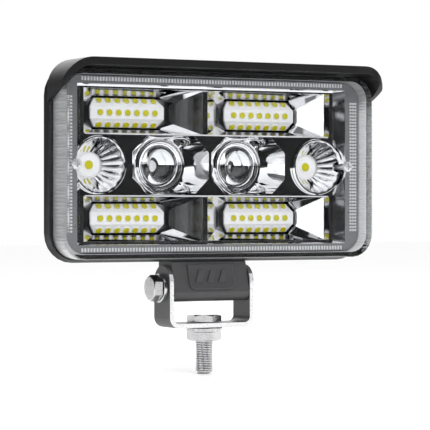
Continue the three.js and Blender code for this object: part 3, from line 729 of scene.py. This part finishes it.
class FOGLIGHT_OT_reflector(bpy.types.Operator):
    """Chromed reflector with the ribs round its flange"""
    bl_idname = "foglight.reflector"
    bl_label = "Reflector"
    bl_options = {"REGISTER", "UNDO"}

    def execute(self, context):
        reflector = refined_copy("reflector", "chrome", "head", 0.25, 2)
        self.satin_flange(reflector)
        self.ribs()
        self.beads()
        return {"FINISHED"}

    def satin_flange(self, reflector):
        """The flange's front has a satin finish; the rest is mirror bright."""
        reflector.data.materials.append(finish_of("satin_flange"))
        for face in reflector.data.polygons:
            if face.center.y < (FRONT_Y + 0.05) * MM:
                face.material_index = 1

    def beads(self):
        """A fine bead along both edges of the middle deck."""
        half, bead, depth, apart = 59.5, 0.32, -5.0, 13.1
        lines = []
        for row in (-1, 1):
            profile = [(bead * 0.4, -half), (bead, -half + 0.3), (bead, half - 0.3),
                       (bead * 0.4, half)]
            lines.append(turned_piece(f"bead_{row}", "satin_ribs", profile,
                                      (depth, HEAD_Z + row * apart), "X", 12))
        finish_piece(join_pieces(lines, "deck_beads"), "head")

    def ribs(self):
        pitch = sizes().rib_pitch / MM
        runs = []
        low_steps = ((0.0, 0.0), (0.3, 0.12), (0.42, 0.3))
        dot = loose_piece("rib_dot", small_block(0.5, 0.45, low_steps), "satin_ribs")
        side_long = 2 * 28.5
        count = int(side_long / pitch) + 1
        for side in (-1, 1):
            runs.append(copies_on_face(
                f"ribs_side_{side}", dot, finish_of("satin_ribs"), 3, count,
                (1.25 * MM, pitch * MM), math.pi / 2,
                (side * 69.25 * MM, FRONT_Y * MM, HEAD_Z * MM)))
        high_steps = ((0.0, 0.0), (0.35, 0.12), (0.5, 0.3))
        tick = loose_piece("rib_tick", small_block(0.45, 0.85, high_steps), "satin_ribs")
        count = int(2 * 63.0 / pitch) + 1
        for row in (-1, 1):
            runs.append(copies_on_face(
                f"ribs_row_{row}", tick, finish_of("satin_ribs"), count, 1,
                (pitch * MM, pitch * MM), math.pi / 2,
                (0.0, FRONT_Y * MM, (HEAD_Z + row * 35.7) * MM)))
        ribs = join_pieces(runs, "reflector_ribs")
        finish_piece(ribs, "head", sharp=25)
        for spare in (dot, tick):
            bpy.data.objects.remove(spare, do_unlink=True)


class FOGLIGHT_OT_cups(bpy.types.Operator):
    """Fluted cups at both ends, each with its LED"""
    bl_idname = "foglight.cups"
    bl_label = "Cups"
    bl_options = {"REGISTER", "UNDO"}

    def execute(self, context):
        for name, side in SIDES:
            self.cup(name, side)
            self.led(name)
        return {"FINISHED"}

    def cup(self, name, side):
        low, high = box_mm("cup_reflector_" + name)
        centre = centre_mm("cup_led_" + name)
        rim, base, wall, lip = 11.4, 5.6, 0.9, 12.4
        flutes = sizes().flutes
        mouth = -5.3        # where the cup's outside meets its lip
        count, steps = flutes * 8, 14
        rings = []

        def ring(radius, y, depth):
            points = []
            for i in range(count):
                angle = 2 * math.pi * i / count
                dent = depth * (1 - abs(math.sin(flutes * angle / 2)))
                r = radius - dent
                points.append((centre.x + r * math.cos(angle), y, centre.z + r * math.sin(angle)))
            return points

        def radius_at(y):
            part = (high.y - y) / (high.y - low.y)
            return math.sqrt(base ** 2 + (rim ** 2 - base ** 2) * part)

        for i in range(steps + 1):
            y = low.y + 0.5 + (high.y - low.y - 0.5) * i / steps
            deep = 0.55 * math.sin(math.pi * (0.12 + 0.8 * i / steps))
            rings.append(ring(radius_at(y), y, deep))
        for i in range(steps, -1, -1):
            y = mouth + (high.y - mouth) * i / steps
            rings.append(ring(radius_at(y) + wall, y, 0.0))
        for radius, y in ((lip, mouth), (lip, low.y + 0.3), (lip - 0.3, low.y),
                          (rim + 0.25, low.y)):
            rings.append(ring(radius, y, 0.0))
        bm = bmesh.new()
        add_rings(bm, rings, closed=True)
        cup = loose_piece(f"cup_{name}", bm, "chrome")
        screw = centre_mm("reflector_screw_" + name)
        post = bmesh.new()
        add_turned(post, [(3.2, -12.0), (3.2, -3.0)], (screw.x, screw.z), "Y", 32)
        cut_with(cup, post)
        finish_piece(cup, "head", ("cup_reflector_" + name,), sharp=30)

    def led(self, name):
        centre = centre_mm("cup_led_" + name)
        at = (centre.x, centre.z)
        profile = [(0, 5.2), (6.2, 5.2), (6.4, 5.0), (6.4, 4.6), (6.2, 4.4), (4.9, 4.4),
                   (4.7, 4.6), (2.7, 4.6), (2.5, 4.3), (0, 4.3)]
        disc = turned_piece(f"cup_led_{name}_disc", "white_board", profile, at)
        finish_piece(disc, "head", ("cup_led_" + name,), sharp=30)
        profile = [(0, 4.5), (1.9, 4.5), (1.9, 4.1), (1.7, 3.95), (0, 3.9)]
        dot = turned_piece(f"cup_led_{name}_dot", "phosphor", profile, at)
        finish_piece(dot, "head", sharp=30)


class FOGLIGHT_OT_projectors(bpy.types.Operator):
    """Glass projector lenses in their stepped rings, and the LEDs behind them"""
    bl_idname = "foglight.projectors"
    bl_label = "Projectors"
    bl_options = {"REGISTER", "UNDO"}

    def execute(self, context):
        for name, _ in SIDES:
            self.lens(name)
            self.ring(name)
            self.led(name)
        return {"FINISHED"}

    def lens(self, name):
        centre = centre_mm("projector_lens_" + name)
        low, high = box_mm("projector_lens_" + name)
        radius, seat = 8.1, 8.3
        profile = [(0, low.y)]
        steps = 20
        for i in range(1, steps + 1):
            angle = i / steps * math.pi / 2
            profile.append((radius * math.sin(angle), seat - (seat - low.y) * math.cos(angle)))
        profile += [(9.5, seat), (9.6, seat + 0.1), (9.6, high.y - 0.1), (9.5, high.y), (0, high.y)]
        lens = turned_piece(f"projector_glass_{name}", "optic_glass", profile,
                            (centre.x, centre.z), count=96)
        finish_piece(lens, "head", ("projector_lens_" + name,), sharp=50)

    def ring(self, name):
        centre = centre_mm("projector_ring_" + name)
        low, high = box_mm("projector_ring_" + name)
        profile = [(8.5, high.y), (11.0, high.y), (11.0, low.y + 0.2), (10.8, low.y),
                   (10.3, low.y), (10.2, low.y + 0.7), (9.7, low.y + 0.8), (9.6, low.y + 1.5),
                   (9.0, low.y + 1.6), (8.7, low.y + 2.3), (8.5, low.y + 2.5)]
        ring = turned_piece(f"projector_step_{name}", "chrome", profile,
                            (centre.x, centre.z), count=96, closed=True)
        finish_piece(ring, "head", ("projector_ring_" + name,), bevel=0.08, sharp=30)

    def led(self, name):
        refined_copy("projector_led_" + name, "black_paint", "head", 0.15)
        centre = centre_mm("projector_led_" + name)
        front = box_mm("projector_led_" + name)[0].y
        profile = [(0, front + 0.1), (2.1, front + 0.1), (2.1, front - 0.2),
                   (1.9, front - 0.35), (0, front - 0.4)]
        chip = turned_piece(f"projector_chip_{name}", "led_package", profile,
                            (centre.x, centre.z), count=32)
        finish_piece(chip, "head", sharp=30)
        cone = [(8.0, 9.9), (7.2, 10.1), (7.0, 10.9), (5.8, 11.1), (5.6, 11.9), (4.4, 12.1),
                (4.2, 12.8), (2.8, 13.0), (2.6, 13.4)]
        back = [(2.6, 13.48), (5.0, 13.3), (8.3, 11.6), (8.3, 9.9)]
        steps = turned_piece(f"projector_steps_{name}", "chrome", cone + back,
                             (centre.x, centre.z), count=72, closed=True)
        finish_piece(steps, "head", sharp=25)


class FOGLIGHT_OT_boards(bpy.types.Operator):
    """Four LED boards on their two carriers"""
    bl_idname = "foglight.boards"
    bl_label = "LED boards"
    bl_options = {"REGISTER", "UNDO"}

    def execute(self, context):
        packages, dots = [], []
        steps = ((-0.1, 0.0), (0.3, 0.0), (0.45, 0.15))
        package = loose_piece("led_package", small_block(1.3, 1.3, steps), "led_package")
        dot = loose_piece("led_dot", self.dot(), "phosphor")
        for row in ROWS:
            refined_copy("led_carrier_" + row, "aluminium", "head", 0.4)
            for name, _ in SIDES:
                node = f"led_board_{row}_{name}"
                refined_copy(node, "white_board", "head", 0.12)
                self.populate(node, package, "led_package", packages)
                self.populate(node, dot, "phosphor", dots)
        for runs, name, slot in ((packages, "led_packages", "white_board"),
                                 (dots, "led_dots", "phosphor")):
            finish_piece(join_pieces(runs, name), "head", sharp=30)
        for spare in (package, dot):
            bpy.data.objects.remove(spare, do_unlink=True)
        return {"FINISHED"}

    def dot(self):
        radius = sizes().led_dot / MM / 2
        bm = bmesh.new()
        add_turned(bm, [(radius, 0.45), (radius, 0.56), (radius * 0.85, 0.64), (0, 0.66)],
                   (0, 0), "Z", 20)
        return bm

    def populate(self, node, shape, finish, runs):
        """Seven LEDs along each of the board's three faces."""
        low, high = box_mm(node)
        centre = (low + high) / 2
        flat, edge = 2.6, (high.z - low.z) / 2
        drop = high.y - 1.2 - low.y
        tilt = math.atan2(drop, edge - flat)
        up = sizes().led_rows_apart / MM
        for row in (-1, 0, 1):
            y = low.y + (up - flat) * math.tan(tilt) if row else low.y
            place = (centre.x * MM, y * MM, (centre.z + row * up) * MM)
            runs.append(copies_on_face(
                f"{node}_{finish}_{row}", shape, finish_of(finish), 7, 1,
                (sizes().led_pitch, sizes().led_pitch), math.pi / 2 - row * tilt, place))


class FOGLIGHT_OT_core(bpy.types.Operator):
    """Core plate and driver board behind the reflector"""
    bl_idname = "foglight.core"
    bl_label = "Core"
    bl_options = {"REGISTER", "UNDO"}

    def execute(self, context):
        refined_copy("core_plate", "aluminium", "head", 0.3)
        refined_copy("driver_board", "circuit_board", "head", 0.1)
        return {"FINISHED"}


def hex_head(name, at, axis, start, end, flats):
    """A bright hexagon head or nut whose corners are turned down to a cone at its end."""
    bm = bmesh.new()
    radius = flats / math.sqrt(3)
    add_rings(bm, [circle(radius, along, at, axis, 6, math.pi / 2) for along in (start, end)])
    head = loose_piece(name, bm, "bright_steel")
    outer, inner = radius + 0.1, flats / 2 - 0.15
    rise = 0.62 * (radius - inner) * (1 if end > start else -1)
    body = bmesh.new()
    add_turned(body, [(outer, start), (outer, end - rise), (inner, end)], at, axis, 96)
    cut_with(head, body, "INTERSECT")
    return head


class FOGLIGHT_OT_fasteners(bpy.types.Operator):
    """Cross-recess screws of the reflector, and the pivot's bolt, washer and pin"""
    bl_idname = "foglight.fasteners"
    bl_label = "Fasteners"
    bl_options = {"REGISTER", "UNDO"}

    def execute(self, context):
        for name, _ in SIDES:
            self.screw(name)
        low, high = box_mm("pivot_bolt")
        under = low.x + 4.0
        at = (0.0, PIVOT_Z)
        head = hex_head("pivot_hex", at, "X", under, low.x, PIVOT_HEX)
        profile = [(3.0, under - 0.3), (3.0, high.x - 0.5), (2.5, high.x)]
        shank = turned_piece("pivot_shank", "bright_steel", profile, at, "X", 48)
        bolt = join_pieces([head, shank], "pivot_bolt_fine")
        finish_piece(bolt, "head", ("pivot_bolt",), bevel=0.12, sharp=30)
        refined_copy("pivot_washer", "bright_steel", "head", 0.15)
        refined_copy("pivot_pin", "bright_steel", "head", 0.3)
        return {"FINISHED"}

    def screw(self, name):
        node = "reflector_screw_" + name
        low, high = box_mm(node)
        centre = centre_mm(node)
        at = (centre.x, centre.z)
        front, under = low.y, -10.3
        profile = [(0, front), (1.7, front), (2.1, front + 0.15), (2.35, front + 0.5),
                   (2.4, under), (1.2, under), (1.2, high.y - 0.6), (0.5, high.y), (0, high.y)]
        screw = turned_piece(f"reflector_screw_{name}_fine", "zinc_steel_and_edge_highlight", profile, at, count=48)
        deep, arm, slim = front + 1.0, 1.25, 0.28
        for wide, tall in ((arm, slim), (slim, arm)):
            recess = bmesh.new()
            add_box(recess, (at[0] - wide, front - 1, at[1] - tall),
                    (at[0] + wide, deep, at[1] + tall))
            cut_with(screw, recess)
        finish_piece(screw, "head", (node,), bevel=0.06, sharp=30)


class FOGLIGHT_OT_bracket(bpy.types.Operator):
    """Bent U bracket"""
    bl_idname = "foglight.bracket"
    bl_label = "Bracket"
    bl_options = {"REGISTER", "UNDO"}

    def execute(self, context):
        strap = refined_copy("u_bracket", "coated_steel", "bracket", 0.3, 3)
        strap.data.materials.append(finish_of("zinc_steel_and_edge_highlight"))
        # Painted highlight: the faces that look straight to the front and back get bright zinc
        # steel, standing in for the light that the bracket's front edge catches
        for face in strap.data.polygons:
            if abs(face.normal.y) > 0.9:
                face.material_index = 1
        return {"FINISHED"}


class FOGLIGHT_OT_stud(bpy.types.Operator):
    """Threaded mounting bolt with its washer and nut"""
    bl_idname = "foglight.stud"
    bl_label = "Mounting stud"
    bl_options = {"REGISTER", "UNDO"}

    def execute(self, context):
        low, high = box_mm("mount_bolt")
        seat = high.z - 3.1
        at = (0.0, 0.0)
        head = hex_head("mount_hex", at, "Z", seat, high.z, MOUNT_HEX)
        shank = self.thread(low.z, seat + 0.2)
        bolt = join_pieces([head, shank], "mount_bolt_fine")
        finish_piece(bolt, "stud", ("mount_bolt",), bevel=0.08, sharp=26)
        low, high = box_mm("mount_washer")
        profile = [(4.3, low.z), (8.0, low.z), (8.0, high.z), (4.3, high.z)]
        washer = turned_piece("mount_washer_fine", "bright_steel", profile, at, "Z", 96,
                              closed=True)
        finish_piece(washer, "stud", ("mount_washer",), bevel=0.2, segments=3)
        low, high = box_mm("mount_nut")
        nut = hex_head("mount_nut_fine", at, "Z", high.z, low.z, MOUNT_HEX)
        bore = bmesh.new()
        add_turned(bore, [(4.06, low.z - 1), (4.06, high.z + 1)], at, "Z", 48)
        cut_with(nut, bore)
        finish_piece(nut, "stud", ("mount_nut",), bevel=0.15, sharp=30)
        return {"FINISHED"}

    def thread(self, tip, top):
        """A single-start thread: the radius rises and falls with height and with the turn."""
        pitch = sizes().thread_pitch / MM
        major, depth, count, slices = 4.0, 0.6, 40, 10
        rings = []
        turns = int((top - tip) / pitch * slices)
        for k in range(turns + 1):
            z = tip + (top - tip) * k / turns
            taper = max(0.0, 1 - (z - tip) / 1.1) * 0.9
            ring = []
            for i in range(count):
                angle = 2 * math.pi * i / count
                phase = (z / pitch + i / count) % 1.0
                crest = min(1.0, max(0.0, (abs(phase - 0.5) * 2 - 0.35) / 0.55))
                radius = max(1.0, major - depth * crest - taper)
                ring.append((radius * math.cos(angle), radius * math.sin(angle), z))
            rings.append(ring)
        bm = bmesh.new()
        add_rings(bm, rings)
        return loose_piece("mount_thread", bm, "bright_steel")


class FOGLIGHT_OT_stage(bpy.types.Operator):
    """Pale floor, soft boxes of light and the camera"""
    bl_idname = "foglight.stage"
    bl_label = "Stage"
    bl_options = {"REGISTER", "UNDO"}

    def execute(self, context):
        self.floor()
        self.flag()
        self.world()
        self.camera()
        self.lights()
        return {"FINISHED"}

    def floor(self):
        bm = bmesh.new()
        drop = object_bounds()[0][2] / MM - 0.3
        wide = 3000.0
        rings = [[(-wide, -wide, z), (wide, -wide, z), (wide, wide, z), (-wide, wide, z)]
                 for z in (drop - 20.0, drop)]
        add_rings(bm, rings)
        material = coat("Pale studio floor", (0.97, 0.97, 0.97), 0.6, 0.05, (0.3, 0.02),
                        (0.01, (1, 1, 1), 0.02))
        floor = link(bpy.data.objects.new("studio_floor", mesh_from(bm, "studio_floor", material)))
        floor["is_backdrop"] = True

    def flag(self):
        """A dark shell in front of the lamp, seen only in its mirrors, that keeps them deep."""
        far, rows, across = 2600.0, 12, 32
        bm = bmesh.new()
        grid = []
        for i in range(rows + 1):
            tall = math.radians(-8 + 98 * i / rows)
            ring = []
            for j in range(across + 1):
                turn = math.radians(-165 + 260 * j / across)
                ring.append(bm.verts.new((far * math.cos(tall) * math.sin(turn),
                                          -far * math.cos(tall) * math.cos(turn),
                                          far * math.sin(tall))))
            grid.append(ring)
        for low, high in zip(grid, grid[1:]):
            for j in range(across):
                bm.faces.new((low[j], low[j + 1], high[j + 1], high[j]))
        material = coat("Black flag cloth", (0.006, 0.006, 0.006), 0.9, 0.05, (0.2, 0.2),
                        (0.01, (1, 1, 1), 0.1))
        flag = link(bpy.data.objects.new("studio_flag", mesh_from(bm, "studio_flag", material)))
        bm = bmesh.new()
        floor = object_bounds()[0][2] / MM
        corners = [(-350, -350), (250, -350), (250, -25), (-350, -25)]
        add_rings(bm, [[(x, y, floor + z) for x, y in corners] for z in (-0.2, 0.2)])
        card = link(bpy.data.objects.new("floor_flag", mesh_from(bm, "floor_flag", material)))
        for piece in (flag, card):
            piece.visible_camera = False
            piece.visible_diffuse = False
            piece.visible_shadow = False
            piece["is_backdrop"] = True

    def world(self):
        world = bpy.data.worlds.new("Studio")
        bpy.context.scene.world = world
        world.use_nodes = True
        sky = world.node_tree.nodes["Background"].inputs
        sky["Color"].default_value = (1.0, 1.0, 1.0, 1.0)
        sky["Strength"].default_value = 1.0
        bpy.context.scene.view_settings.view_transform = "Standard"

    def camera(self):
        data = bpy.data.cameras.new("Camera")
        data.sensor_width = 36.0
        data.lens = 181.8
        data.clip_start, data.clip_end = 0.01, 20.0
        camera = link(bpy.data.objects.new("Camera", data))
        ahead = Vector((0.4772, 0.8788, 0.0))
        tilt = math.radians(0.185)
        ahead = ahead * math.cos(tilt) - Vector((0, 0, math.sin(tilt)))
        camera.location = Vector((-444.5, -828.5, 51.41)) * MM
        camera.rotation_euler = ahead.to_track_quat("-Z", "Y").to_euler()
        bpy.context.scene.camera = camera

    def lights(self):
        target = Vector((0.0, -10.0, HEAD_Z)) * MM
        for name, place, size, radiance in (
                ("left_strip", (-1200, -330, 150), (0.16, 1.0), 2.0),
                ("thin_strip", (-900, -800, 120), (0.05, 0.5), 3.0),
                ("right_box", (900, -800, 200), (0.25, 0.8), 1.6),
                ("top_box", (600, -330, 1050), (1.0, 0.7), 1.5),
                ("back_box", (300, 900, 500), (1.0, 0.7), 1.2),
                ("front_fill", (-300, -1300, 300), (1.2, 1.2), 5.0)):
            data = bpy.data.lights.new(name, "AREA")
            data.shape = "RECTANGLE"
            data.size, data.size_y = size
            data.energy = math.pi * size[0] * size[1] * radiance
            light = link(bpy.data.objects.new(name, data))
            light.visible_glossy = name != "front_fill"
            light.visible_transmission = name != "front_fill"
            light.location = Vector(place) * MM
            light.rotation_euler = (target - light.location).to_track_quat("-Z", "Y").to_euler()


class FOGLIGHT_PT_pieces(bpy.types.Panel):
    """Lists the lamp's pieces and the stage"""
    bl_idname = "FOGLIGHT_PT_pieces"
    bl_label = "Fog Light"
    bl_space_type = "VIEW_3D"
    bl_region_type = "UI"
    bl_category = "Fog Light"

    def draw(self, context):
        for group in (context.scene.fog_light_sizes, context.scene.fog_light_colours):
            box = self.layout.box()
            for name in group.bl_rna.properties.keys():
                if name not in ("rna_type", "name"):
                    box.prop(group, name)
        for operator in OPERATORS:
            self.layout.operator(operator.bl_idname)


OPERATORS = (FOGLIGHT_OT_housing, FOGLIGHT_OT_visor, FOGLIGHT_OT_lens, FOGLIGHT_OT_reflector,
             FOGLIGHT_OT_cups, FOGLIGHT_OT_projectors, FOGLIGHT_OT_boards, FOGLIGHT_OT_core,
             FOGLIGHT_OT_fasteners, FOGLIGHT_OT_bracket, FOGLIGHT_OT_stud, FOGLIGHT_OT_stage)
CLASSES = (FogLightSizes, FogLightColours, *OPERATORS, FOGLIGHT_PT_pieces)


def register():
    for cls in CLASSES:
        bpy.utils.register_class(cls)
    bpy.types.Scene.fog_light_sizes = bpy.props.PointerProperty(type=FogLightSizes)
    bpy.types.Scene.fog_light_colours = bpy.props.PointerProperty(type=FogLightColours)


def unregister():
    del bpy.types.Scene.fog_light_colours
    del bpy.types.Scene.fog_light_sizes
    for cls in reversed(CLASSES):
        bpy.utils.unregister_class(cls)


def main():
    register()
    for operator in OPERATORS:
        family, name = operator.bl_idname.split(".")
        getattr(getattr(bpy.ops, family), name)()


if __name__ == "__main__":
    main()
